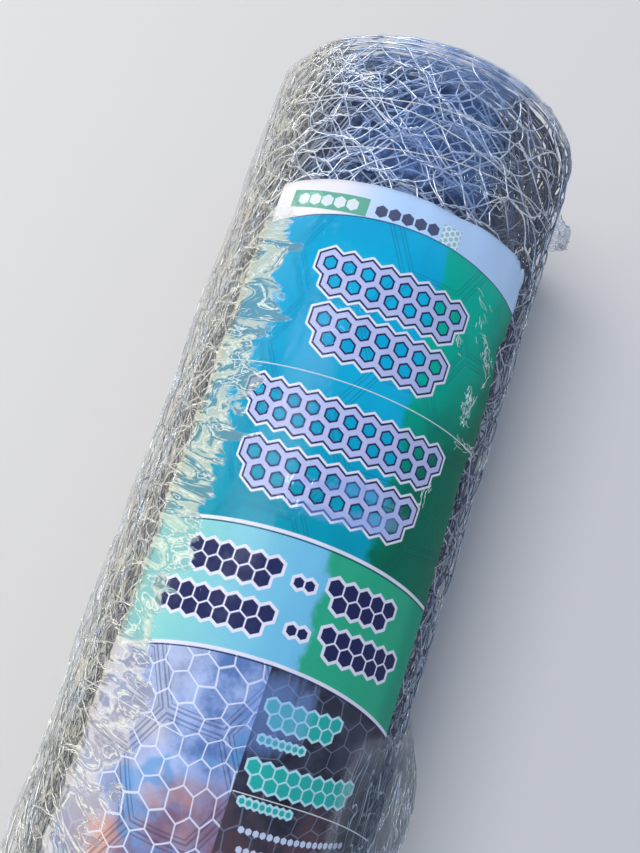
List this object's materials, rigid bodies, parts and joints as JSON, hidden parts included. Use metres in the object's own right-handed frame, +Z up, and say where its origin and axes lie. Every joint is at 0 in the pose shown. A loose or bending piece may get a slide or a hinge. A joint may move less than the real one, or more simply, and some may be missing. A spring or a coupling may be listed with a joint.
{
  "type": "roll of chicken wire",
  "caption": "Roll of galvanized hexagonal wire netting lying on its side, with an open bore, a printed paper label and a clear shrink film folded over both ends.",
  "frame": {"origin": "on the floor, under the middle of the roll", "axes": "+Y along the roll, towards the end where the label starts; +Z up"},
  "size_m": [0.1686, 0.917, 0.1685],
  "materials": {
    "galvanized_wire": "galvanized twisted wire, silver grey with a slight sheen",
    "label_paper": "glossy printed paper, cyan blue turning to green, with a white head strip",
    "clear_film": "clear shrink film, glossy and wrinkled"
  },
  "bodies": {
    "root": {"netting_roll": "galvanized_wire", "label": "label_paper", "film_wrap": "clear_film"}
  },
  "joints": []
}
